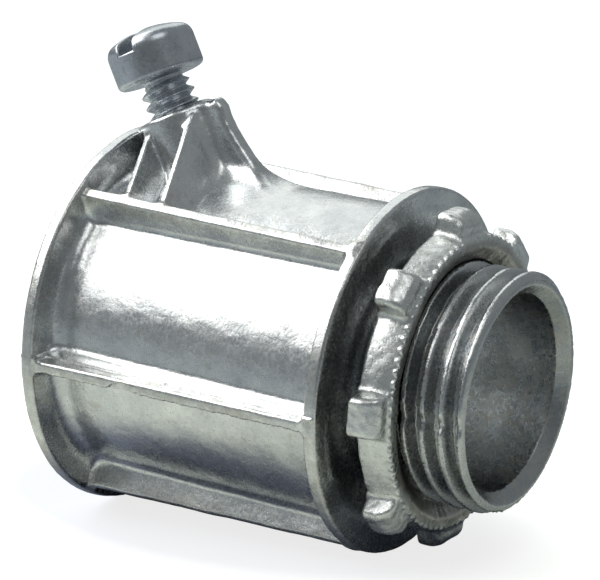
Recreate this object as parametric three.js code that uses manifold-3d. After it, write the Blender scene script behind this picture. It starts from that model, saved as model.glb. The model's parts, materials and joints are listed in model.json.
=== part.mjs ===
// Set-screw connector for 1/2 in trade size flexible metal conduit, with its locknut.
//
// Millimetres. The origin is the centre of the shoulder's seating face on the bore axis, +X points out along
// the threaded nipple and +Z points to the side with the set screw. Every turned or threaded shape is made
// along X first, and is then placed by a group or a matrix.

import * as THREE from 'three';
import { mergeVertices } from 'three/addons/utils/BufferGeometryUtils.js';
import Module from 'manifold-3d';

const wasm = await Module();
wasm.setup();

// ---------------------------------------------------------------- driving dimensions

const CLEARANCE = 0.3; // between pieces that touch or run in each other
const THREAD_CLEARANCE = 0.28; // over the crests, where a tapped thread runs on its screw
const FULL_TURN = 2 * Math.PI;

// Flats round each full circle or thread turn. Shapes that cross have different counts, so that their edges
// never meet exactly.
const SIDES = {
  body: 44, bore: 40, envelope: 37, nippleThread: 20, seat: 48,
  boss: 32, tapHole: 24, tapRelief: 22, screwThread: 10, screwHead: 40, screwShank: 24,
};

const TRIM = 0.6; // how far the nipple is made too long before its end is cut

const SHOULDER = { radius: 16.25, thickness: 1.2 };
const REAR_FLANGE = { radius: 17.5, thickness: 1.0 };
const BARREL = { length: 29.6, radius: 14.1, boreRadius: 12.4, endWall: 2.0, mouthChamfer: 0.5 };

const RIB = { frontRadius: 16.15, rearRadius: 16.9, crestWidth: 1.15, rootWidth: 2.5 };
const RIB_ANGLES_FROM_TOP = [38, 95, 152, -152, -95, -38];

const NIPPLE = { length: 10.65, throatRadius: 8.6, throatChamfer: 1.1, leadIn: 0.55 };
const FOOT_RECESS = { radius: 10.9, depth: 0.2 }; // in the seating face, round the foot of the thread
const NIPPLE_THREAD = {
  pitch: 25.4 / 14, majorRadius: 10.45, minorRadius: 9.35, rootWidth: 1.24, crestWidth: 0.36,
};
const NIPPLE_CREST_AT_TOP = 10.0; // X of one thread crest on the +Z side

const LOCKNUT = {
  rearX: 2.05, thickness: 3.3, rearRadius: 13.4, frontRadius: 12.9, edgeBreak: 0.2,
  counterboreRadius: 11.2, counterboreDepth: 0.45,
};
// setBack is from the locknut's front face to the front of its lugs.
const LUG = { count: 8, width: 3.9, rearRadius: 15.05, frontRadius: 13.9, setBack: 0.3, bury: 0.6 };
const SEAT_RING = { innerRadius: 11.5, outerRadius: 12.6, thickness: 0.6 };

const SCREW_TILT = THREE.MathUtils.degToRad(28); // from +Z towards the conduit end
const BOSS_TOP = new THREE.Vector3(-25.95, 0, 19.02); // centre of the tapped hole's mouth
const BOSS = { radius: 3.5, depth: 9, threadDepth: 5.9 };
const WEB_THICKNESS = 1.7;
const GUSSET = { thickness: 0.8, topDrop: 1.0, footY: 10.1, rootY: 8.0, rootBelowFoot: 3.0 };
// Each gusset's place forward of the screw's axis, where its edge leaves the boss, and how low its foot is.
const GUSSET_STATIONS = [
  { forward: -1.0, startY: 3.3, footDrop: 6.4 },
  { forward: 2.8, startY: 1.9, footDrop: 8.4 },
];

const SCREW = {
  standOff: 3.47, length: 11.1, headRadius: 4.1, headSide: 3.75, headHeight: 4.75, headEdge: 0.35,
  slotWidth: 1.6, slotDepth: 1.8, pointRadius: 1.5, pointLength: 1.6, neckLength: 0.7,
};
const SCREW_THREAD = {
  pitch: 25.4 / 24, majorRadius: 2.41, minorRadius: 1.8, rootWidth: 0.84, crestWidth: 0.16,
};

// ---------------------------------------------------------------- solids

// A closed geometry as a solid. Only positions count, and each shared vertex is kept once.
function solid(geometry) {
  const bare = geometry.index ? geometry.toNonIndexed() : geometry.clone();
  for (const name of Object.keys(bare.attributes)) {
    if (name !== 'position') bare.deleteAttribute(name);
  }
  const merged = mergeVertices(bare, 1e-4);
  const vertProperties = new Float32Array(merged.attributes.position.array);
  const triVerts = new Uint32Array(merged.index.array);
  return new wasm.Manifold(new wasm.Mesh({ numProp: 3, vertProperties, triVerts }));
}

function meshOf(manifold, name, material) {
  const { vertProperties, triVerts } = manifold.getMesh();
  const geometry = new THREE.BufferGeometry();
  geometry.setAttribute('position', new THREE.BufferAttribute(vertProperties, 3));
  geometry.setIndex(new THREE.BufferAttribute(triVerts, 1));
  geometry.computeVertexNormals();
  const mesh = new THREE.Mesh(geometry, material);
  mesh.name = name;
  return mesh;
}

// A closed outline of [radius, x] points turned round the X axis. The outline goes towards +X on its outside.
function turned(outline, segments) {
  const points = [...outline, outline[0]].map(([radius, x]) => new THREE.Vector2(radius, x));
  return solid(new THREE.LatheGeometry(points, segments).rotateZ(-Math.PI / 2));
}

// A ring or, with no inner radius, a disc between two X stations.
function ring(innerRadius, outerRadius, fromX, toX, segments) {
  return turned([
    [innerRadius, fromX], [outerRadius, fromX], [outerRadius, toX], [innerRadius, toX],
  ], segments);
}

// A flat outline of [u, v] points given a thickness centred on its plane.
function plate(outline, thickness) {
  const shape = new THREE.Shape(outline.map(([u, v]) => new THREE.Vector2(u, v)));
  const geometry = new THREE.ExtrudeGeometry(shape, { depth: thickness, bevelEnabled: false });
  return geometry.translate(0, 0, -thickness / 2);
}

// A right-hand thread ridge round the X axis: a straight bar of the ridge's section, wrapped into a helix.
// clearance widens and raises the ridge, so that the same function cuts the mating thread. crestAtTop is the
// X of a crest on the +Z side, and the ridge runs between the two X stations there.
function threadRidge(thread, { fromX, toX, crestAtTop, clearance = 0, segments }) {
  const rootHalf = thread.rootWidth / 2 + clearance * 0.6;
  const crestHalf = thread.crestWidth / 2 + clearance * 0.6;
  const buried = thread.minorRadius - 0.25;
  const crest = thread.majorRadius + clearance;
  const section = new THREE.Shape([
    new THREE.Vector2(buried, -rootHalf), new THREE.Vector2(crest, -crestHalf),
    new THREE.Vector2(crest, crestHalf), new THREE.Vector2(buried, rootHalf),
  ]);
  const firstTurn = Math.ceil((fromX - crestAtTop) / thread.pitch);
  const lastTurn = Math.floor((toX - crestAtTop) / thread.pitch);
  const turns = lastTurn - firstTurn;
  const bar = new THREE.ExtrudeGeometry(section, {
    depth: turns, steps: turns * segments, bevelEnabled: false,
  });
  const position = bar.attributes.position;
  for (let i = 0; i < position.count; i += 1) {
    const radius = position.getX(i);
    const turn = position.getZ(i) + firstTurn;
    const angle = Math.PI / 2 + turn * FULL_TURN;
    const x = crestAtTop - position.getY(i) + turn * thread.pitch; // minus keeps the faces pointing out
    position.setXYZ(i, x, radius * Math.cos(angle), radius * Math.sin(angle));
  }
  return solid(bar);
}

// ---------------------------------------------------------------- the screw's axis

// Its group turns local +X to the outward direction of the screw, and starts at the mouth of the hole.
const screwAxis = new THREE.Group();
screwAxis.position.copy(BOSS_TOP);
screwAxis.rotation.y = -(Math.PI / 2 + SCREW_TILT);
screwAxis.updateMatrix();

// A solid made on the screw's local axis, moved to where it meets the body.
function onScrewAxis(manifold) {
  return manifold.transform(Array.from(screwAxis.matrix.elements));
}

// ---------------------------------------------------------------- connector body

function barrelAndNipple() {
  const rear = -BARREL.length;
  const flangeFront = rear + REAR_FLANGE.thickness;
  const overlong = NIPPLE.length + TRIM;
  return turned([
    [0, rear], [REAR_FLANGE.radius - 0.2, rear], [REAR_FLANGE.radius, rear + 0.2],
    [REAR_FLANGE.radius, flangeFront], [BARREL.radius + 0.5, flangeFront + 0.25],
    [BARREL.radius, flangeFront + 0.8],
    [BARREL.radius, -SHOULDER.thickness - 0.6], [BARREL.radius + 0.6, -SHOULDER.thickness],
    [SHOULDER.radius, -SHOULDER.thickness], [SHOULDER.radius, -0.15], [SHOULDER.radius - 0.15, 0],
    [FOOT_RECESS.radius, 0], [FOOT_RECESS.radius, -FOOT_RECESS.depth],
    [NIPPLE_THREAD.minorRadius, -FOOT_RECESS.depth], [NIPPLE_THREAD.minorRadius, overlong], [0, overlong],
  ], SIDES.body);
}

// The conduit socket, its stop, the throat and the nipple's funnel mouth, with all that lies past its end.
function boresAndEndCut() {
  const rear = -BARREL.length;
  const stop = -BARREL.endWall;
  const { boreRadius, mouthChamfer } = BARREL;
  const { length, throatRadius, throatChamfer } = NIPPLE;
  const outside = NIPPLE_THREAD.majorRadius + 1;
  const beyond = length + 2 * TRIM;
  return turned([
    [0, rear - 1], [boreRadius + mouthChamfer + 1, rear - 1], [boreRadius, rear + mouthChamfer],
    [boreRadius, stop], [throatRadius, stop], [throatRadius, length - throatChamfer],
    [throatRadius + 0.6 * throatChamfer, length], [outside, length], [outside, beyond], [0, beyond],
  ], SIDES.bore);
}

function nippleThread() {
  const ridge = threadRidge(NIPPLE_THREAD, {
    fromX: -1, toX: NIPPLE.length + 2 * TRIM, crestAtTop: NIPPLE_CREST_AT_TOP, segments: SIDES.nippleThread,
  });
  const outer = NIPPLE_THREAD.majorRadius + 0.5;
  const inner = NIPPLE_THREAD.minorRadius - 0.2;
  const endRadius = NIPPLE_THREAD.majorRadius - NIPPLE.leadIn;
  const envelope = turned([
    [inner, -0.6], [outer, -0.6], [outer, NIPPLE.length - (outer - endRadius)],
    [endRadius - TRIM, NIPPLE.length + TRIM], [inner, NIPPLE.length + TRIM],
  ], SIDES.envelope);
  return ridge.intersect(envelope);
}

// Lengthwise ribs with drafted sides, cut to crests that rise towards the rear flange.
function ribs() {
  const rootRadius = BARREL.boreRadius + 0.8;
  const tall = RIB.rearRadius + 1;
  const length = BARREL.length - 1;
  const section = [
    [-RIB.rootWidth / 2, rootRadius], [RIB.rootWidth / 2, rootRadius],
    [RIB.crestWidth / 2, tall], [-RIB.crestWidth / 2, tall],
  ];
  const bars = RIB_ANGLES_FROM_TOP.map((degrees) => {
    const bar = new THREE.ExtrudeGeometry(
      new THREE.Shape(section.map(([across, up]) => new THREE.Vector2(across, up))),
      { depth: length, bevelEnabled: false },
    );
    // The section's plane becomes Y and Z, and its length runs along X.
    bar.applyMatrix4(new THREE.Matrix4().makeBasis(
      new THREE.Vector3(0, 1, 0), new THREE.Vector3(0, 0, 1), new THREE.Vector3(1, 0, 0),
    ));
    return solid(bar.translate(-BARREL.length + 0.5, 0, 0).rotateX(THREE.MathUtils.degToRad(degrees)));
  });
  const crests = turned([
    [rootRadius - 1, -BARREL.length + 0.4], [RIB.rearRadius, -BARREL.length + 0.4],
    [RIB.frontRadius, -0.6], [rootRadius - 1, -0.6],
  ], SIDES.envelope);
  return bars.reduce((all, bar) => all.add(bar)).intersect(crests);
}

// The tapped boss, its front web and the gusset plates that run down to the nearest rib on each side.
function screwBoss() {
  const boss = onScrewAxis(ring(0, BOSS.radius, -BOSS.depth, 0, SIDES.boss));
  const web = plate([
    [-26, 13], [-14.2, 13], [-14.9, 13.8], [-17.5, 15.9], [-18.8, 17.1], [-19.9, 18.6], [-20.8, 20.5],
    [-21.6, 20.9], [-23.5, 19.8],
  ], WEB_THICKNESS).rotateX(Math.PI / 2);
  const { thickness, topDrop, footY, rootY, rootBelowFoot } = GUSSET;
  const gussets = GUSSET_STATIONS.map(({ forward, startY, footDrop }) => {
    const root = -footDrop - rootBelowFoot;
    const half = [[-topDrop, startY], [-footDrop, footY], [root, rootY]]; // along the screw's axis, and Y
    const otherHalf = half.map(([along, y]) => [along, -y]).reverse();
    const shape = plate([...half, ...otherHalf], thickness);
    return onScrewAxis(solid(shape.translate(0, 0, -forward)));
  });
  return [solid(web), ...gussets].reduce((all, piece) => all.add(piece), boss);
}

function tappedHole() {
  const tapRadius = SCREW_THREAD.minorRadius + CLEARANCE;
  const hole = ring(0, tapRadius, -BOSS.depth - 1, 1, SIDES.tapHole);
  const groove = threadRidge(SCREW_THREAD, {
    fromX: -BOSS.depth - 1, toX: 1.5, crestAtTop: 0, clearance: THREAD_CLEARANCE, segments: SIDES.screwThread,
  });
  const reliefRadius = SCREW_THREAD.majorRadius + 0.35;
  const mouth = ring(0, reliefRadius, -0.3, 1, SIDES.tapRelief);
  const innerEnd = ring(0, reliefRadius, -BOSS.depth - 1.5, -BOSS.threadDepth, SIDES.tapRelief);
  return onScrewAxis(hole.add(groove).add(mouth).add(innerEnd));
}

function connectorBody() {
  const solids = [barrelAndNipple(), ribs(), screwBoss(), nippleThread()];
  return solids.reduce((all, piece) => all.add(piece)).subtract(boresAndEndCut()).subtract(tappedHole());
}

// ---------------------------------------------------------------- set screw

function screwHead() {
  const { standOff, headRadius, headSide, headHeight, headEdge, slotWidth, slotDepth } = SCREW;
  const top = standOff + headHeight;
  const shoulder = standOff + headSide;
  const head = turned([
    [0, standOff], [headRadius - headEdge, standOff], [headRadius, standOff + headEdge],
    [headRadius, shoulder], [headRadius - 0.5, shoulder + 0.55], [headRadius - 1.4, top - 0.12], [0, top],
  ], SIDES.screwHead);
  const slotBottom = top - slotDepth;
  const slotEnd = headRadius + 1;
  const slot = plate([
    [slotBottom, -slotEnd], [top + 1, -slotEnd], [top + 1, slotEnd], [slotBottom, slotEnd],
  ], slotWidth);
  return head.subtract(solid(slot));
}

// Local X of the gap between the threaded shank and the blunt point below it.
const SHANK_END = SCREW.standOff - SCREW.length + SCREW.pointLength + CLEARANCE;

function threadedShank() {
  const { standOff, neckLength } = SCREW;
  const neck = standOff - neckLength;
  const core = ring(0, SCREW_THREAD.minorRadius, SHANK_END, standOff + 0.2, SIDES.screwShank);
  const ridge = threadRidge(SCREW_THREAD, {
    fromX: SHANK_END - 2, toX: neck + 2, crestAtTop: 0, segments: SIDES.screwThread,
  });
  const outer = SCREW_THREAD.majorRadius + 0.3;
  const inner = SCREW_THREAD.minorRadius - 0.2;
  const envelope = turned([
    [inner, SHANK_END + 0.1], [inner + 0.2, SHANK_END + 0.1], [outer, SHANK_END + 1],
    [outer, neck - 0.4], [inner + 0.2, neck + 0.3], [inner, neck + 0.3],
  ], SIDES.screwShank);
  return core.add(ridge.intersect(envelope));
}

function screwPoint() {
  const { standOff, length, pointRadius, pointLength } = SCREW;
  const tip = standOff - length;
  return turned([
    [0, tip], [pointRadius - 0.4, tip], [pointRadius, tip + 0.4], [pointRadius, tip + pointLength],
    [0, tip + pointLength],
  ], SIDES.screwShank);
}

// ---------------------------------------------------------------- locknut

const LOCKNUT_FRONT_X = LOCKNUT.rearX + LOCKNUT.thickness;

function locknutLugs() {
  const { rearX } = LOCKNUT;
  const front = LOCKNUT_FRONT_X - LUG.setBack;
  const foot = LOCKNUT.frontRadius - LUG.bury;
  const outline = [
    [rearX, foot], [front, foot], [front, LUG.frontRadius - 0.3], [front - 0.3, LUG.frontRadius],
    [rearX + 0.2, LUG.rearRadius], [rearX, LUG.rearRadius - 0.2],
  ];
  return Array.from({ length: LUG.count }, (_, i) => (
    solid(plate(outline, LUG.width).rotateX(Math.PI / 2 + (i * FULL_TURN) / LUG.count))
  ));
}

function locknut() {
  const { rearX, rearRadius, frontRadius, edgeBreak, counterboreRadius, counterboreDepth } = LOCKNUT;
  const tapRadius = NIPPLE_THREAD.minorRadius + CLEARANCE;
  const blank = turned([
    [tapRadius, rearX + 0.6], [tapRadius + 0.6, rearX], [rearRadius, rearX],
    [frontRadius, LOCKNUT_FRONT_X - edgeBreak], [frontRadius - edgeBreak, LOCKNUT_FRONT_X],
    [counterboreRadius, LOCKNUT_FRONT_X], [counterboreRadius, LOCKNUT_FRONT_X - counterboreDepth],
    [tapRadius, LOCKNUT_FRONT_X - counterboreDepth],
  ], SIDES.body);
  const groove = threadRidge(NIPPLE_THREAD, {
    fromX: rearX - 3, toX: LOCKNUT_FRONT_X + 3, crestAtTop: NIPPLE_CREST_AT_TOP,
    clearance: THREAD_CLEARANCE, segments: SIDES.nippleThread,
  });
  const seat = ring(
    SEAT_RING.innerRadius - CLEARANCE, SEAT_RING.outerRadius + CLEARANCE,
    rearX - 1, rearX + SEAT_RING.thickness + CLEARANCE, SIDES.seat,
  );
  return locknutLugs().reduce((all, lug) => all.add(lug), blank).subtract(groove).subtract(seat);
}

function locknutSeatRing() {
  const { innerRadius, outerRadius, thickness } = SEAT_RING;
  return ring(innerRadius, outerRadius, LOCKNUT.rearX, LOCKNUT.rearX + thickness, SIDES.seat);
}

// ---------------------------------------------------------------- assembly

const castZinc = () => new THREE.MeshStandardMaterial({ color: 0xb9bcbc, roughness: 0.34, metalness: 1 });
const castNut = () => new THREE.MeshStandardMaterial({ color: 0xa9abaa, roughness: 0.4, metalness: 1 });
const platedSteel = () => new THREE.MeshStandardMaterial({ color: 0xb4bac2, roughness: 0.24, metalness: 1 });

screwAxis.add(
  meshOf(screwHead().add(threadedShank()), 'set_screw', platedSteel()),
  meshOf(screwPoint(), 'set_screw_point', platedSteel()),
);

const connector = new THREE.Group();
connector.add(
  meshOf(connectorBody(), 'connector_body', castZinc()),
  screwAxis,
  meshOf(locknut(), 'locknut', castNut()),
  meshOf(locknutSeatRing(), 'locknut_seat_ring', castNut()),
);

export default connector;
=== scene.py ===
"""Looks of the set-screw conduit connector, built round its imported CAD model.

Each piece is meshed from a signed distance in millimetres, negative inside, in the frame of the CAD model:
+X out along the nipple and +Z towards the set screw. Blended distances give the castings their fillets, and
the mesh is moved onto the exact surface, with small waves of the casting added.
"""

import json
import math

import bpy
import numpy as np
from mathutils import Matrix, Vector


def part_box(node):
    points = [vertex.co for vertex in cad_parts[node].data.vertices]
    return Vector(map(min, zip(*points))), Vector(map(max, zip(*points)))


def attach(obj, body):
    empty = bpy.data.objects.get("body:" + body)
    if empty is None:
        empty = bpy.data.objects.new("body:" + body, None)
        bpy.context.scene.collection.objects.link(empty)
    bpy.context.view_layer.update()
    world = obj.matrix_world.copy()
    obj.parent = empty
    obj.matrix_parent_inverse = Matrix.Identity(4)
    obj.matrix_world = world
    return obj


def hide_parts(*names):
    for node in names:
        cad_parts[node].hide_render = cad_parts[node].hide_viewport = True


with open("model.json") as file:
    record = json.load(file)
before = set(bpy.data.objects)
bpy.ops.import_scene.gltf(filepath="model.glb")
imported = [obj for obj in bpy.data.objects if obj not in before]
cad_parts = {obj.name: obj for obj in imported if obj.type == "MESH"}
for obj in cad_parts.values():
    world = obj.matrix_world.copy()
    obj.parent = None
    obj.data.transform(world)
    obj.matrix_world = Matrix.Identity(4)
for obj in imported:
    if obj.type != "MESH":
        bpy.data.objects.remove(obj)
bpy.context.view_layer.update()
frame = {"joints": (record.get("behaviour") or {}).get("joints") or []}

MM = 0.001
JOINTS = {joint["name"]: joint for joint in frame["joints"]}


def box_mm(node):
    low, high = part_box(node)
    return np.array(low) / MM, np.array(high) / MM


body_low, body_high = box_mm("connector_body")
nut_low, nut_high = box_mm("locknut")

# ---------------------------------------------------------------- driving dimensions, in mm and degrees

SHY = 0.05  # how far the rims, the lugs and the nipple's end are set inside the CAD box, for the waves

REAR_X = body_low[0]
NIPPLE_END = body_high[0] - SHY
FLANGE = {"radius": body_high[1] - SHY, "edge": 0.3, "thickness": 1.2, "fillet": 1.7}
SHOULDER = {"radius": 16.25, "edge": 0.25, "thickness": 1.2, "fillet": 0.9}
BARREL = {"radius": 14.1, "edge": 0.0, "rear": REAR_X + 0.1, "front": -0.4}
BORE = {"socket": 12.4, "chamfer": 0.5, "stop": -2.0, "throat": 8.6, "edge": 0.15}
FUNNEL = {"mouth": 9.6, "depth": 1.1, "reach": 2}

RIB = {"foot": 10, "front": 16.15, "rear": 16.9, "crest": 0.5, "draft": 0.17, "edge": 0.3, "fillet": 0.7}
RIB_ENDS = {"rear": REAR_X + 0.2, "front": -0.8, "edge": 0.1}
RIB_ANGLES = [52, 128, 185, 242, 298, -5]  # from +Y towards +Z
NICKED_RIB = {"angle": 185, "x": -19.3, "across": 1.95, "radius": 2.2, "depth": 0.55, "edge": 0.08}

# Where the two halves of the die met: a fine ridge on the rims, and a flattened stretch of thread.
PARTING = {"z": -0.55, "half": 0.13, "height": 0.1, "on_rims": (15.5, FLANGE["radius"] - 0.15), "end": -0.2}
PARTED_THREAD = {"half": 0.6, "flattened": 0.3}

NIPPLE_THREAD = {"pitch": 25.4 / 14, "major": 10.6, "minor": 9.35, "root": 0.66, "crest": 0.16, "at": 10.0}
NIPPLE_RIM = {"radius": 10.05, "length": 0.7, "lead_in": 0.05, "edge": 0.2, "fillet": 0.4}
NIPPLE_FOOT = {"x": -0.5, "fillet": 0.25}

SCREW_AXIS = np.array(JOINTS["screw_turn"]["axis"])
SCREW_MOUTH = np.array(JOINTS["screw_turn"]["pos_m"]) / MM
SCREW_FORWARD = np.array([SCREW_AXIS[2], 0, -SCREW_AXIS[0]])
SCREW_THREAD = {"pitch": 25.4 / 24, "major": 2.41, "minor": 1.8, "root": 0.5, "crest": 0.05, "at": 0.0}
SCREW_TAP = {**SCREW_THREAD, "major": 2.62, "minor": 2.12}
SCREW_HOLE = {"clear": 2.75, "thread": (-5.9, -0.25), "reach": (-10, 2), "edge": 0.1}
SCREW_HEAD = {"stand_off": 3.47, "radius": 4.08, "side": 3.75, "height": 4.7, "edge": 0.5, "dome_edge": 0.8}
SCREW_SLOT = {"width": 1.6, "depth": 1.8, "edge": 0.25}
SCREW_SHANK = {"length": 11.1, "edge": 0.2, "fillet": 0.25}
SCREW_NECK = {"length": 0.45, "slope": 1.3}  # where the thread runs out under the head
SCREW_POINT = {"length": 1.6, "narrower": 0.25, "slope": 0.8}

BOSS = {"radius": 3.5, "depth": 9, "edge": 0.4, "web_fillet": 1.2}
BOSS_FILLET = {"forward": (-3.2, 0), "size": (0.4, 2.0)}  # small at the rear, where the screw's head passes
WEB = {"half": 0.9, "rim": 0.6, "edge": 0.8, "flare_from": 16.5, "flare_depth": 4, "flare": 0.08}
WEB_OUTLINE = [  # X and Z, from inside the barrel up its front edge to the boss's mouth
    (-26, 12), (-13.9, 12), (-14.8, 13.7), (-16.0, 14.9), (-17.15, 16.05), (-18.4, 17.35), (-19.55, 18.7),
    (-20.25, 19.8), (-20.6, 20.6), (-21.4, 21.3), (-23.5, 20.4)]
GUSSETS = [
    {"station": -1.75, "splay": 0.07, "top": 3.0, "foot": -5.7},
    {"station": 2.9, "splay": -0.09, "top": 2.0, "foot": -7.7}]
GUSSET = {"half": 0.33, "draft": 0.09, "draft_depth": 1.5, "edge": 0.15, "fillet": 0.5}
NEAR_SIDE = {"drop": 0.9, "reach": 9.8, "lower": 0, "root": 8.4, "sunk": 2}
FAR_SIDE = {"drop": 1.5, "reach": 8.4, "lower": 1.8, "root": 8.0, "sunk": 3}

SEAT_GAP = 0.18  # keeps the nut's waves off the shoulder when it is run up to it
NUT_REAR = nut_low[0] + SEAT_GAP
NUT_FRONT = nut_high[0]
NUT = {"rear": 13.25, "front": 12.85, "edge": 0.35}
NUT_TAP = {**NIPPLE_THREAD, "major": 10.75, "minor": 10.15}
NUT_MOUTH = {"radius": 11.9, "taper": 1.3, "depth": 1, "edge": 0.15}
LUGS = {"count": 8, "half": 1.95, "draft": 0.12, "rear": nut_high[1] - SHY, "front": 13.9, "back": 0.3}
LUG_EDGES = {"top": 0.55, "ends": 0.4, "fillet": 0.55}
LUG_CURVE = {"from": 0.35, "square": 0.42}  # the share of the nut's length where the top starts to fall
BEADS = {"count": 84, "radius": 0.38, "sunk": 0.2, "behind": 0.18, "fillet": 0.08}

# ---------------------------------------------------------------- distances

FAR = 1e3
DIAGONAL = 0.7  # from a step across a slope of 45 degrees to the distance from it
FLANK = 0.75  # the same for the flank of a thread


def smooth_union(a, b, k):
    """The union of two distances, with a fillet about k wide where they meet."""
    h = np.clip(0.5 + 0.5 * (b - a) / k, 0, 1)
    return b + (a - b) * h - k * h * (1 - h)


def smooth_cut(a, b, k):
    """a without b, with its edge rounded by about k."""
    return -smooth_union(-a, b, k)


def smooth_common(a, b, k):
    """Where a and b overlap, with its edge rounded by about k."""
    return -smooth_union(-a, -b, k)


def between(value, low, high):
    """Distance to the slab from low to high."""
    return np.abs(value - (low + high) / 2) - (high - low) / 2


def rectangle(u, v, u_range, v_range, rounding=0.0):
    du = between(u, *u_range) + rounding
    dv = between(v, *v_range) + rounding
    outside = np.hypot(np.maximum(du, 0), np.maximum(dv, 0))
    return outside + np.minimum(np.maximum(du, dv), 0) - rounding


def round_bar(along, radius, along_range, spec):
    return rectangle(along, radius, along_range, (-spec["radius"], spec["radius"]), spec["edge"])


def polygon(u, v, points):
    """Distance to a closed outline of (u, v) points."""
    nearest = np.full(u.shape, np.inf)
    inside = np.zeros(u.shape, bool)
    for (au, av), (bu, bv) in zip(points, points[1:] + points[:1]):
        eu, ev = bu - au, bv - av
        t = np.clip(((u - au) * eu + (v - av) * ev) / (eu * eu + ev * ev), 0, 1)
        nearest = np.minimum(nearest, (u - au - t * eu) ** 2 + (v - av - t * ev) ** 2)
        if ev:
            inside ^= ((av > v) != (bv > v)) & (u < eu * (v - av) / ev + au)
    return np.sqrt(nearest) * np.where(inside, -1, 1)


def polar(p):
    return p[:, 0], np.hypot(p[:, 1], p[:, 2]), np.arctan2(p[:, 2], p[:, 1])


def thread(along, radius, angle, spec, flattened=0.0):
    """Distance to a right-hand thread whose crest passes spec["at"] at angle 0, with rounded roots."""
    turns = (along - spec["at"]) / spec["pitch"] - angle / math.tau
    off = np.abs(turns - np.round(turns)) * spec["pitch"]
    up = np.clip((spec["root"] - off) / (spec["root"] - spec["crest"]), 0, 1)
    up = 0.7 * up + 0.3 * up * up * (3 - 2 * up)
    surface = spec["minor"] + (spec["major"] - spec["minor"]) * up * (1 - flattened)
    return (radius - surface) * FLANK


def waves(p, wavelength, seed):
    """Smooth noise, mostly from -1 to 1: a few sine waves in directions of their own."""
    rng = np.random.default_rng(seed)
    directions = rng.normal(size=(9, 3))
    directions *= (math.tau / wavelength) * rng.uniform(0.7, 1.4, (9, 1)) / np.linalg.norm(
        directions, axis=1, keepdims=True)
    phases = rng.uniform(0, math.tau, 9)
    return np.sin(p @ directions.T + phases).sum(axis=1) / 4


def screw_frame(p):
    """Along the screw's axis from the mouth of its hole, forward of the axis, and across it."""
    q = p - SCREW_MOUTH
    return q @ SCREW_AXIS, q @ SCREW_FORWARD, q[:, 1]


# ---------------------------------------------------------------- connector body


def turned_shell(x, r):
    """Barrel, rear flange and shoulder.

    Known fault: the flange's wide fillet also swells the rear face, by up to 0.38 mm. At full detail the mesh
    of that face is left open in a ring about 13.2 to 14.6 mm from the axis.
    """
    tube = round_bar(x, r, (BARREL["rear"], BARREL["front"]), BARREL)
    flange = round_bar(x, r, (REAR_X, REAR_X + FLANGE["thickness"]), FLANGE)
    shoulder = round_bar(x, r, (-SHOULDER["thickness"], 0), SHOULDER)
    return smooth_union(smooth_union(tube, flange, FLANGE["fillet"]), shoulder, SHOULDER["fillet"])


def one_rib(p, degrees):
    x = p[:, 0]
    crest = RIB["rear"] + (RIB["front"] - RIB["rear"]) * (x - REAR_X) / -REAR_X
    a = math.radians(degrees)
    across = p[:, 2] * math.cos(a) - p[:, 1] * math.sin(a)
    up = p[:, 1] * math.cos(a) + p[:, 2] * math.sin(a)
    side = np.abs(across) - RIB["crest"] - np.maximum(crest - up, 0) * RIB["draft"]
    nicked = degrees == NICKED_RIB["angle"]
    if nicked:  # its lower edge is ragged too
        ragged = 0.03 * np.sin(2.3 * x) + 0.03 * np.sin(6.1 * x + 1) + 0.025 * np.sin(13.7 * x + 2)
        side -= ragged * (across > 0)
    rib = smooth_common(side, between(up, RIB["foot"], crest), RIB["edge"])
    if nicked:
        nick = np.hypot(x - NICKED_RIB["x"], across - NICKED_RIB["across"]) - NICKED_RIB["radius"]
        nick = np.maximum(nick, crest - NICKED_RIB["depth"] - up)
        rib = smooth_cut(rib, nick, NICKED_RIB["edge"])
    return rib


def ribs(p):
    found = np.full(len(p), FAR)
    for degrees in RIB_ANGLES:
        found = np.minimum(found, one_rib(p, degrees))
    return smooth_common(found, between(p[:, 0], RIB_ENDS["rear"], RIB_ENDS["front"]), RIB_ENDS["edge"])


def screw_boss(p):
    """The boss round the set screw, and the web that runs down from it to the front."""
    along, forward, across = screw_frame(p)
    x, z = p[:, 0], p[:, 2]
    boss = round_bar(along, np.hypot(forward, across), (-BOSS["depth"], 0), BOSS)
    flare = np.clip(WEB["flare_from"] - z, 0, WEB["flare_depth"]) ** 2 * WEB["flare"]
    web = smooth_common(polygon(x, z, WEB_OUTLINE), along, WEB["rim"])
    web = smooth_common(web, np.abs(across) - (WEB["half"] + flare), WEB["edge"])
    return smooth_union(boss, web, BOSS["web_fillet"])


def gusset_outline(gusset, side):
    """Out from the axis of the boss, and along it, down to well inside the barrel."""
    top, foot = gusset["top"], gusset["foot"]
    return [(0, -side["drop"]), (top, -side["drop"]), (side["reach"], foot - side["lower"]),
            (side["root"], foot - side["sunk"]), (0, foot - 4)]


def gussets(p):
    """Two plates on each side. Those of the far side are lower, so that the web hides them."""
    along, forward, across = screw_frame(p)
    out = np.abs(across)
    found = np.full(len(p), FAR)
    for gusset in GUSSETS:
        near = polygon(out, along, gusset_outline(gusset, NEAR_SIDE))
        far = polygon(out, along, gusset_outline(gusset, FAR_SIDE))
        flat = np.where(across < 0, near, far)
        slab = np.abs(forward - gusset["station"] - gusset["splay"] * out) - GUSSET["half"]
        slab += np.maximum(flat, -GUSSET["draft_depth"]) * GUSSET["draft"]
        found = np.minimum(found, smooth_common(flat, slab, GUSSET["edge"]))
    return found


def tapped_hole(p):
    along, forward, across = screw_frame(p)
    radius = np.hypot(forward, across)
    hole = thread(along, radius, np.arctan2(-across, -forward), SCREW_TAP)
    clear = np.maximum(radius - SCREW_HOLE["clear"], -between(along, *SCREW_HOLE["thread"]))
    return np.maximum(np.minimum(hole, clear), between(along, *SCREW_HOLE["reach"]))


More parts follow.
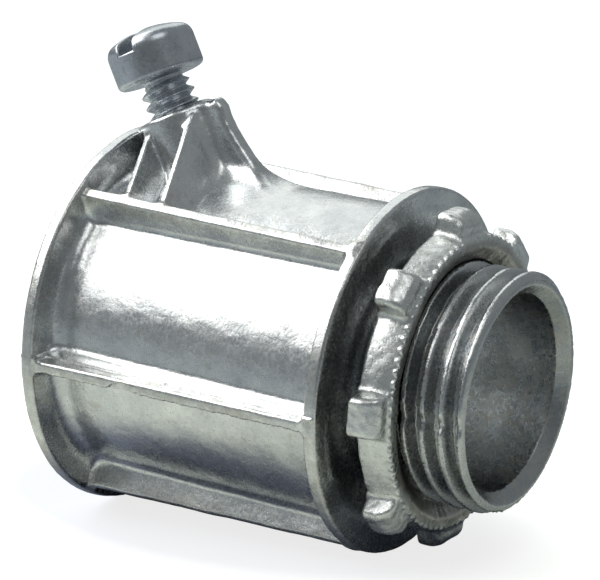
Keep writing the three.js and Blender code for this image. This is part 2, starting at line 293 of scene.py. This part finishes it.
def nipple(x, r, angle):
    seam = np.exp(-((r * np.sin(angle) - PARTING["z"]) / PARTED_THREAD["half"]) ** 2)
    core = thread(x, r, angle - math.pi / 2, NIPPLE_THREAD, PARTED_THREAD["flattened"] * seam)
    rim = round_bar(x, r, (NIPPLE_END - NIPPLE_RIM["length"], NIPPLE_END), {**NIPPLE_RIM, "edge": 0.0})
    bar = smooth_union(core, rim, NIPPLE_RIM["fillet"])
    cone = (r - NIPPLE_THREAD["major"] + NIPPLE_RIM["lead_in"] + (x - NIPPLE_END)) * DIAGONAL
    for end in (cone, x - NIPPLE_END):
        bar = smooth_common(bar, end, NIPPLE_RIM["edge"])
    return np.maximum(bar, NIPPLE_FOOT["x"] - x)


def bores(x, r):
    socket = np.maximum(r - BORE["socket"], x - BORE["stop"])
    chamfer = r - BORE["socket"] - BORE["chamfer"] + (x - REAR_X)
    throat = r - BORE["throat"]
    slope = (FUNNEL["mouth"] - BORE["throat"]) / FUNNEL["depth"]
    funnel = (r - FUNNEL["mouth"] - slope * (x - NIPPLE_END)) / math.hypot(1, slope)
    funnel = np.maximum(funnel, NIPPLE_END - FUNNEL["reach"] - x)
    return np.minimum(np.minimum(socket, chamfer), np.minimum(throat, funnel))


def connector_body(p):
    x, r, angle = polar(p)
    _, forward, _ = screw_frame(p)
    shell = smooth_union(turned_shell(x, r), ribs(p), RIB["fillet"])
    boss_fillet = np.interp(forward, BOSS_FILLET["forward"], BOSS_FILLET["size"])
    shell = smooth_union(shell, screw_boss(p), boss_fillet)
    shell = smooth_union(shell, gussets(p), GUSSET["fillet"])
    shell = smooth_union(shell, nipple(x, r, angle), NIPPLE_FOOT["fillet"])
    seam = np.exp(-((p[:, 2] - PARTING["z"]) / PARTING["half"]) ** 2)
    inner, outer = PARTING["on_rims"]
    shell = shell - PARTING["height"] * seam * ((x < PARTING["end"]) & (r > inner) & (r < outer))
    return smooth_cut(smooth_cut(shell, bores(x, r), BORE["edge"]), tapped_hole(p), SCREW_HOLE["edge"])


# ---------------------------------------------------------------- set screw


def screw_head(along, radius, forward):
    under = SCREW_HEAD["stand_off"]
    top = under + SCREW_HEAD["height"]
    head = round_bar(along, radius, (under, top + 2), SCREW_HEAD)
    rise = SCREW_HEAD["height"] - SCREW_HEAD["side"]
    dome_radius = (SCREW_HEAD["radius"] ** 2 + rise ** 2) / (2 * rise)
    dome = np.hypot(along - top + dome_radius, radius) - dome_radius
    head = smooth_common(head, dome, SCREW_HEAD["dome_edge"])
    slot = np.maximum(np.abs(forward) - SCREW_SLOT["width"] / 2, top - SCREW_SLOT["depth"] - along)
    return smooth_cut(head, slot, SCREW_SLOT["edge"])


def set_screw(p):
    along, forward, across = screw_frame(p)
    radius = np.hypot(forward, across)
    under = SCREW_HEAD["stand_off"]
    tip = under - SCREW_SHANK["length"]
    shank = thread(along, radius, np.arctan2(-across, -forward), SCREW_THREAD)
    neck = SCREW_THREAD["minor"] + np.maximum(under - SCREW_NECK["length"] - along, 0) * SCREW_NECK["slope"]
    point = np.maximum(along - tip - SCREW_POINT["length"], 0) * SCREW_POINT["slope"]
    point += SCREW_THREAD["minor"] - SCREW_POINT["narrower"]
    shank = np.maximum(np.maximum(shank, (radius - neck) * 0.6), (radius - point) * FLANK)
    shank = smooth_common(shank, rectangle(along, radius, (tip, under + 0.5), (-3, 3)), SCREW_SHANK["edge"])
    return smooth_union(screw_head(along, radius, forward), shank, SCREW_SHANK["fillet"])


# ---------------------------------------------------------------- locknut


def folded(angle, r, count):
    """Across and up from the nearest of count equal spokes."""
    step = math.tau / count
    near = angle - np.round(angle / step) * step
    return r * np.sin(near), r * np.cos(near)


def lugs(x, r, angle, share):
    across, up = folded(angle, r, LUGS["count"])
    fall = np.clip(share - LUG_CURVE["from"], 0, 1) ** 2 / LUG_CURVE["square"]
    top = LUGS["rear"] - (LUGS["rear"] - LUGS["front"]) * fall
    lug = np.abs(across) - LUGS["half"] + (up - 13) * LUGS["draft"]
    lug = smooth_common(lug, (up - top) * 0.85, LUG_EDGES["top"])
    lug = smooth_common(lug, between(x, NUT_REAR, NUT_FRONT - LUGS["back"]), LUG_EDGES["ends"])
    return np.maximum(lug, 11 - up)


def locknut(p):
    x, r, angle = polar(p)
    share = np.clip((x - NUT_REAR) / (NUT_FRONT - NUT_REAR), 0, 1)
    outer = NUT["rear"] + (NUT["front"] - NUT["rear"]) * share ** 3
    ring = smooth_common(r - outer, between(x, NUT_REAR, NUT_FRONT), NUT["edge"])
    found = smooth_union(ring, lugs(x, r, angle, share), LUG_EDGES["fillet"])
    across, up = folded(angle, r, BEADS["count"])
    out = np.hypot(up - NUT["front"] + BEADS["sunk"], x - NUT_FRONT + BEADS["behind"])
    bead = np.hypot(across, out) - BEADS["radius"]
    found = np.maximum(smooth_union(found, bead, BEADS["fillet"]), x - NUT_FRONT)
    cone = r - NUT_MOUTH["radius"] + (NUT_FRONT - x) * NUT_MOUTH["taper"]
    mouth = np.maximum(cone / math.hypot(1, NUT_MOUTH["taper"]), NUT_FRONT - NUT_MOUTH["depth"] - x)
    tap = thread(x, r, angle - math.pi / 2, NUT_TAP)
    return smooth_cut(found, np.minimum(mouth, tap), NUT_MOUTH["edge"])


# ---------------------------------------------------------------- from distance to mesh

BLOCK = 8


def sample(distance, low, high, cell):
    """Distances on a grid of cells. Blocks away from the surface only get the right sign."""
    counts = np.ceil((high - low) / cell / BLOCK).astype(int) + 1
    blocks = np.indices(counts).reshape(3, -1).T
    centres = low + (blocks + 0.5) * BLOCK * cell
    coarse = distance(centres)
    field = np.kron(coarse.reshape(counts), np.ones((BLOCK,) * 3)).astype(np.float32)
    near = blocks[np.abs(coarse) < BLOCK * cell * 1.1 + 0.4]
    offsets = np.indices((BLOCK,) * 3).reshape(3, -1).T
    for start in range(0, len(near), 512):
        at = (near[start:start + 512, None] * BLOCK + offsets).reshape(-1, 3)
        field[tuple(at.T)] = distance(low + at * cell)
    return field


def surface_nets(field):
    """Vertices in cell units, one in each cell that the surface crosses, and the quads between them."""
    inside = field < 0
    corners = [(i, j, k) for i in (0, 1) for j in (0, 1) for k in (0, 1)]
    size = np.array(field.shape) - 1
    full = sum(inside[i:size[0] + i, j:size[1] + j, k:size[2] + k].astype(np.uint8) for i, j, k in corners)
    crossed = (full > 0) & (full < 8)
    cells = np.argwhere(crossed)
    number = np.full(crossed.shape, -1, np.int64)
    number[crossed] = np.arange(len(cells))
    total = np.zeros((len(cells), 3))
    hits = np.zeros(len(cells))
    for a in corners:
        for axis in range(3):
            if a[axis]:
                continue
            b = tuple(c + (axis == n) for n, c in enumerate(a))
            fa, fb = (field[tuple((cells + c).T)] for c in (a, b))
            hit = (fa < 0) != (fb < 0)
            t = np.where(hit, fa / np.where(hit, fa - fb, 1), 0)
            point = np.array(a) + np.outer(t, np.eye(3)[axis])
            total += point * hit[:, None]
            hits += hit
    quads = []
    for axis in range(3):
        u, v = np.eye(3, dtype=int)[[(axis + 1) % 3, (axis + 2) % 3]]
        edges = np.argwhere(inside != np.roll(inside, -1, axis))
        edges = edges[np.all((edges > 0) & (edges < size), axis=1)]
        ring = [number[tuple((edges - s * u - t * v).T)] for s, t in ((1, 1), (0, 1), (0, 0), (1, 0))]
        quad = np.array(ring).T
        flip = ~inside[tuple(edges.T)]
        quad[flip] = quad[flip][:, ::-1]
        quads.append(quad)
    return cells + total / hits[:, None], np.concatenate(quads)


def gradient(distance, points, step=0.02):
    found = np.empty_like(points)
    for axis in range(3):
        shift = np.eye(3)[axis] * step
        found[:, axis] = (distance(points + shift) - distance(points - shift)) / (2 * step)
    return found


def settle(distance, points, reach, rounds):
    """Moves points onto the surface, by at most reach a round."""
    for _ in range(rounds):
        slope = gradient(distance, points)
        steepness = np.maximum((slope ** 2).sum(axis=1), 0.1)
        move = slope * (distance(points) / steepness)[:, None]
        length = np.linalg.norm(move, axis=1, keepdims=True)
        points = points - move * np.minimum(1, reach / np.maximum(length, 1e-9))
    return points


def mesh_from(name, distance, low, high, cell, triangles, rough):
    """A mesh of the surface with about that many triangles. rough(points) is how far the surface sinks."""
    def cast(points):
        return distance(points) + rough(points)

    low = np.array(low) - 2.5 * cell
    points, quads = surface_nets(sample(distance, low, np.array(high) + 2.5 * cell, cell))
    points = settle(cast, low + points * cell, cell / 2, 2)
    mesh = bpy.data.meshes.new(name)
    mesh.from_pydata(points * MM, [], quads)
    piece = bpy.data.objects.new(name, mesh)
    bpy.context.scene.collection.objects.link(piece)
    if 2 * len(quads) > triangles:
        thinner = piece.modifiers.new("thinner", "DECIMATE")
        thinner.ratio = triangles / (2 * len(quads))
        bpy.context.view_layer.update()
        thin = bpy.data.meshes.new_from_object(piece.evaluated_get(bpy.context.evaluated_depsgraph_get()))
        piece.modifiers.clear()
        piece.data = thin
        bpy.data.meshes.remove(mesh)
        thin.name = name
        mesh = thin
    points = np.empty(3 * len(mesh.vertices))
    mesh.vertices.foreach_get("co", points)
    points = settle(cast, points.reshape(-1, 3) / MM, cell / 3, 1)
    mesh.vertices.foreach_set("co", (points * MM).ravel())
    normals = gradient(cast, points)
    normals /= np.linalg.norm(normals, axis=1, keepdims=True)
    mesh.shade_smooth()
    mesh.normals_split_custom_set_from_vertices(normals)
    mesh.update()
    return piece


# ---------------------------------------------------------------- materials


def shader_node(tree, kind, inputs=None, **settings):
    """A node of that kind. An input that is another node's output is linked, and any other is set."""
    made = tree.nodes.new("ShaderNode" + kind)
    for key, value in settings.items():
        setattr(made, key, value)
    for key, value in (inputs or {}).items():
        if isinstance(value, bpy.types.NodeSocket):
            tree.links.new(value, made.inputs[key])
        else:
            made.inputs[key].default_value = value
    return made


def noise(tree, where, size_mm, detail=3.0, roughness=0.55):
    inputs = {"Vector": where, "Scale": 1 / (size_mm * MM), "Detail": detail, "Roughness": roughness}
    return shader_node(tree, "TexNoise", inputs).outputs["Fac"]


def remapped(tree, value, from_range, to_range=(0, 1)):
    inputs = {"Value": value}
    inputs["From Min"], inputs["From Max"] = from_range
    inputs["To Min"], inputs["To Max"] = to_range
    return shader_node(tree, "MapRange", inputs).outputs["Result"]


def mixed(tree, factor, a, b):
    """One colour or another by a factor. Each colour is a tuple or another node's output."""
    mix = shader_node(tree, "Mix", {"Factor": factor}, data_type="RGBA")
    for name, value in (("A", a), ("B", b)):
        if isinstance(value, tuple):
            mix.inputs[name].default_value = (*value, 1)
        else:
            tree.links.new(value, mix.inputs[name])
    return mix.outputs["Result"]


def computed(tree, operation, *values):
    return shader_node(tree, "Math", dict(enumerate(values)), operation=operation).outputs["Value"]


def wear_and_painted_shade(tree, where, wear_and_shade):
    """How dull the metal is, patchily, and how far inwards it is, both from 0 to 1.
    How far inwards also sets the painted shade of the bore and the thread's roots, in metal().

    The last argument gives distances from the X axis, in mm, between which the metal turns dull outwards and
    inwards.
    It also gives heights between which that stops, so that it stays off the boss.
    """
    off_axis = shader_node(tree, "VectorMath", {0: where, 1: (0, 1 / MM, 1 / MM)}, operation="MULTIPLY")
    off_axis = off_axis.outputs["Vector"]
    radius = shader_node(tree, "VectorMath", {0: off_axis}, operation="LENGTH").outputs["Value"]
    height = shader_node(tree, "SeparateXYZ", {"Vector": off_axis}).outputs["Z"]
    # Towards the axis: patchy dulling here, and the mask for the painted shade that metal() puts in the bore
    # and thread roots
    inside = remapped(tree, radius, wear_and_shade["inwards"])
    edge = computed(tree, "MAXIMUM", remapped(tree, radius, wear_and_shade["outwards"]), inside)
    edge = computed(tree, "MULTIPLY", edge, remapped(tree, height, wear_and_shade["below"], (1, 0)))
    patchy = remapped(tree, noise(tree, where, 1.1, 4.0, 0.7), (0.4, 0.65), (0.1, 0.7))
    return computed(tree, "MULTIPLY", edge, patchy), inside


def metal(name, light, dark, stain, roughness, grain, mottle, wear_and_shade=None):
    """Bare metal: cloudy colour, small stains, roughness that varies, and a fine grain over shallow waves.
    Where the last argument is given, it also adds dull patches and painted shade towards the axis.

    grain and mottle are a size across and a depth, in mm. The last argument is as in the function above, plus
    the colour of the painted shade inwards.
    """
    material = bpy.data.materials.new(name)
    material.use_nodes = True
    tree = material.node_tree
    shader = tree.nodes["Principled BSDF"]
    shader.inputs["Metallic"].default_value = 1.0
    where = shader_node(tree, "TexCoord").outputs["Object"]
    clouds = noise(tree, where, 3.0, 5.0, 0.65)
    fine = noise(tree, where, grain[0], 4.0, 0.7)
    broad = noise(tree, where, mottle[0], 2.0, 0.5)
    tint = mixed(tree, remapped(tree, clouds, (0.3, 0.7)), dark, light)
    specks = remapped(tree, noise(tree, where, 0.9, 6.0, 0.75), (0.54, 0.70), (0, 0.7))
    rough = remapped(tree, fine, (0.35, 0.7), roughness)
    if wear_and_shade:
        dull, inside = wear_and_painted_shade(tree, where, wear_and_shade)
        # Painted shade: the bore and the thread's roots are darkened to the inner colour, by distance from
        # the axis alone
        tint = mixed(tree, inside, tint, wear_and_shade["inner"])
        specks = computed(tree, "MAXIMUM", specks, dull)
        rough = computed(tree, "MULTIPLY_ADD", dull, 0.12, rough)
    tree.links.new(mixed(tree, specks, tint, stain), shader.inputs["Base Color"])
    tree.links.new(rough, shader.inputs["Roughness"])
    normal = None
    for height, depth in ((broad, mottle[1]), (fine, grain[1])):
        bump = shader_node(tree, "Bump", {"Height": height, "Distance": depth * MM, "Strength": 1.0})
        if normal:
            tree.links.new(normal, bump.inputs["Normal"])
        normal = bump.outputs["Normal"]
    tree.links.new(normal, shader.inputs["Normal"])
    return material


zinc = metal(
    "die_cast_zinc", (0.82, 0.83, 0.82), (0.60, 0.62, 0.64), stain=(0.50, 0.48, 0.43),
    roughness=(0.16, 0.34), grain=(0.35, 0.026), mottle=(2.2, 0.035),
    # inwards and inner: painted shade, darkening the nipple's thread roots and its bore
    wear_and_shade={
        "outwards": (15.0, 15.9), "inwards": (11.0, 9.4), "below": (13.6, 14.8),
        "inner": (0.37, 0.40, 0.43)})
nut_zinc = metal(
    "die_cast_zinc_nut", (0.86, 0.87, 0.85), (0.64, 0.66, 0.65), stain=(0.34, 0.32, 0.28),
    roughness=(0.2, 0.4), grain=(0.45, 0.05), mottle=(1.6, 0.04),
    # inwards and inner: painted shade, darkening the nut's bore and its thread
    wear_and_shade={
        "outwards": (20, 21), "inwards": (12.9, 12.3), "below": (20, 21),
        "inner": (0.42, 0.42, 0.40)})
steel = metal(
    "plated_steel", (0.60, 0.63, 0.67), (0.48, 0.51, 0.55), stain=(0.34, 0.33, 0.32),
    roughness=(0.24, 0.36), grain=(0.3, 0.006), mottle=(2.5, 0.02))

# ---------------------------------------------------------------- pieces


def place(piece, material, body, slot, *nodes):
    piece.data.materials.append(material)
    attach(piece, body)
    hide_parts(*nodes)


def body_waves(p):
    return 0.022 * waves(p, 5.0, 3) + 0.008 * waves(p, 1.3, 4)


def screw_waves(p):
    return 0.004 * waves(p, 2.0, 5)


def nut_waves(p):
    return 0.03 * waves(p, 2.6, 6) + 0.015 * waves(p, 0.9, 7)


DETAIL = 0.18  # the body's cell, in mm

body = mesh_from("connector_casting", connector_body, body_low, body_high, DETAIL, 190_000, body_waves)
place(body, zinc, "connector", "cast_zinc_body", "connector_body")

head_low, head_high = box_mm("set_screw")
point_low, point_high = box_mm("set_screw_point")
screw_low, screw_high = np.minimum(head_low, point_low), np.maximum(head_high, point_high)
screw = mesh_from("slotted_set_screw", set_screw, screw_low, screw_high, DETAIL / 2, 90_000, screw_waves)
place(screw, steel, "screw", "plated_steel_screw", "set_screw", "set_screw_point")

nut = mesh_from("lugged_locknut", locknut, nut_low, nut_high, DETAIL * 0.7, 150_000, nut_waves)
place(nut, nut_zinc, "nut", "cast_zinc_nut", "locknut", "locknut_seat_ring")

# ---------------------------------------------------------------- stage, light and camera

CAMERA = {"azimuth": 31.52, "elevation": 15.17, "roll": 2.82, "distance": 0.2442, "lens": 168.0}
LOOK_AT = Vector((-9.6, -3.84, 6.36)) * MM


def view_rotation(azimuth, elevation, roll=0.0):
    """Turns a camera or a lamp so that it looks back at the middle from that side."""
    angles = ((azimuth, "Z"), (90 - elevation, "X"), (roll, "Z"))
    turns = [Matrix.Rotation(math.radians(angle), 3, axis) for angle, axis in angles]
    return turns[0] @ turns[1] @ turns[2]


def seen_from(thing, azimuth, elevation, distance, target, roll=0.0):
    rotation = view_rotation(azimuth, elevation, roll)
    thing.matrix_world = Matrix.Translation(target + rotation @ Vector((0, 0, distance))) @ rotation.to_4x4()


def softbox(name, azimuth, elevation, size, power, color):
    """A square-cornered soft light, half a metre away."""
    lamp = bpy.data.lights.new(name, "AREA")
    lamp.shape = "RECTANGLE"
    lamp.size, lamp.size_y = size
    lamp.energy = power
    lamp.color = color
    thing = bpy.data.objects.new(name, lamp)
    bpy.context.scene.collection.objects.link(thing)
    seen_from(thing, azimuth, elevation, 0.5, Vector((-10, 0, 0)) * MM)


# Where the floor's painted shadow and painted shade lie, as the metal sees the floor
FLOOR = {"x": 12.0, "y": 1.0, "squash": 0.6, "under": (14, 21), "beyond": (38, 62)}  # mm from the rear rim


def stage():
    """A pale floor that both rims rest on, so it slopes a little.

    The camera sees it nearly white. The metal sees it with a painted shadow under the object, pale round
    that, and painted shade beyond.
    """
    slope = math.atan2(FLANGE["radius"] - SHOULDER["radius"], -REAR_X)
    reach = 3.0
    corners = [(-reach, -reach, 0), (reach, -reach, 0), (reach, reach, 0), (-reach, reach, 0)]
    mesh = bpy.data.meshes.new("floor")
    mesh.from_pydata(corners, [], [(0, 1, 2, 3)])
    floor = bpy.data.objects.new("floor", mesh)
    floor.matrix_world = (
        Matrix.Translation((REAR_X * MM, 0, -FLANGE["radius"] * MM)) @ Matrix.Rotation(-slope, 4, "Y"))
    bpy.context.scene.collection.objects.link(floor)
    material = bpy.data.materials.new("pale_floor")
    material.use_nodes = True
    tree = material.node_tree
    where = shader_node(tree, "TexCoord").outputs["Object"]
    middle = (-FLOOR["x"] * FLOOR["squash"], -FLOOR["y"], 0)
    mm_from_middle = shader_node(tree, "Mapping", {
        "Vector": where, "Location": middle, "Scale": (FLOOR["squash"] / MM, 1 / MM, 0)}).outputs["Vector"]
    away = shader_node(tree, "VectorMath", {0: mm_from_middle}, operation="LENGTH").outputs["Value"]
    # Painted shadow under the object, then pale round it, on the floor the metal mirrors
    shade = mixed(tree, remapped(tree, away, FLOOR["under"]), (0.19, 0.21, 0.27), (0.78, 0.81, 0.73))
    # Painted shade further out
    shade = mixed(tree, remapped(tree, away, FLOOR["beyond"]), shade, (0.37, 0.40, 0.42))
    paper = shader_node(tree, "BsdfDiffuse", {"Color": shade})
    glow = shader_node(tree, "Emission", {"Color": (1, 1, 0.99, 1), "Strength": 0.8})
    bright = shader_node(tree, "AddShader")
    tree.links.new(paper.outputs[0], bright.inputs[0])
    tree.links.new(glow.outputs[0], bright.inputs[1])
    by_eye(tree, paper, bright, tree.nodes["Material Output"])
    mesh.materials.append(material)


def by_eye(tree, mirrored, seen, output):
    """One shader for what the object mirrors and is lit by, and another for what the camera sees."""
    choose = shader_node(tree, "MixShader")
    tree.links.new(shader_node(tree, "LightPath").outputs["Is Camera Ray"], choose.inputs["Fac"])
    tree.links.new(mirrored.outputs[0], choose.inputs[1])
    tree.links.new(seen.outputs[0], choose.inputs[2])
    tree.links.new(choose.outputs[0], output.inputs["Surface"])


def camera():
    data = bpy.data.cameras.new("camera")
    data.lens = CAMERA["lens"]
    data.clip_start = 0.01
    thing = bpy.data.objects.new("camera", data)
    bpy.context.scene.collection.objects.link(thing)
    seen_from(thing, CAMERA["azimuth"], CAMERA["elevation"], CAMERA["distance"], LOOK_AT, CAMERA["roll"])
    bpy.context.scene.camera = thing


def surroundings():
    """A dim room, dimmest on the right of the camera, with a white backdrop."""
    world = bpy.data.worlds.new("room")
    bpy.context.scene.world = world
    world.use_nodes = True
    tree = world.node_tree
    where = shader_node(tree, "TexCoord").outputs["Generated"]
    facing = shader_node(tree, "VectorMath", {0: where, 1: (0.6, -0.8, 0)}, operation="DOT_PRODUCT")
    room = tree.nodes["Background"]
    room.inputs["Color"].default_value = (0.90, 0.97, 1.0, 1)
    strength = remapped(tree, facing.outputs["Value"], (0.2, 1.0), (0.28, 0.17))
    tree.links.new(strength, room.inputs["Strength"])
    backdrop = shader_node(tree, "Background", {"Color": (1, 1, 1, 1), "Strength": 1.0})
    by_eye(tree, room, backdrop, tree.nodes["World Output"])


stage()
camera()
surroundings()
softbox("key", azimuth=-66, elevation=41, size=(0.62, 0.38), power=2.2, color=(1.0, 1.0, 0.98))
softbox("right", azimuth=50, elevation=60, size=(0.24, 0.24), power=0.25, color=(0.98, 1.0, 0.98))
softbox("back", azimuth=-132, elevation=40, size=(0.52, 0.42), power=0.6, color=(0.97, 1.0, 0.96))
bpy.context.scene.view_settings.view_transform = "Standard"
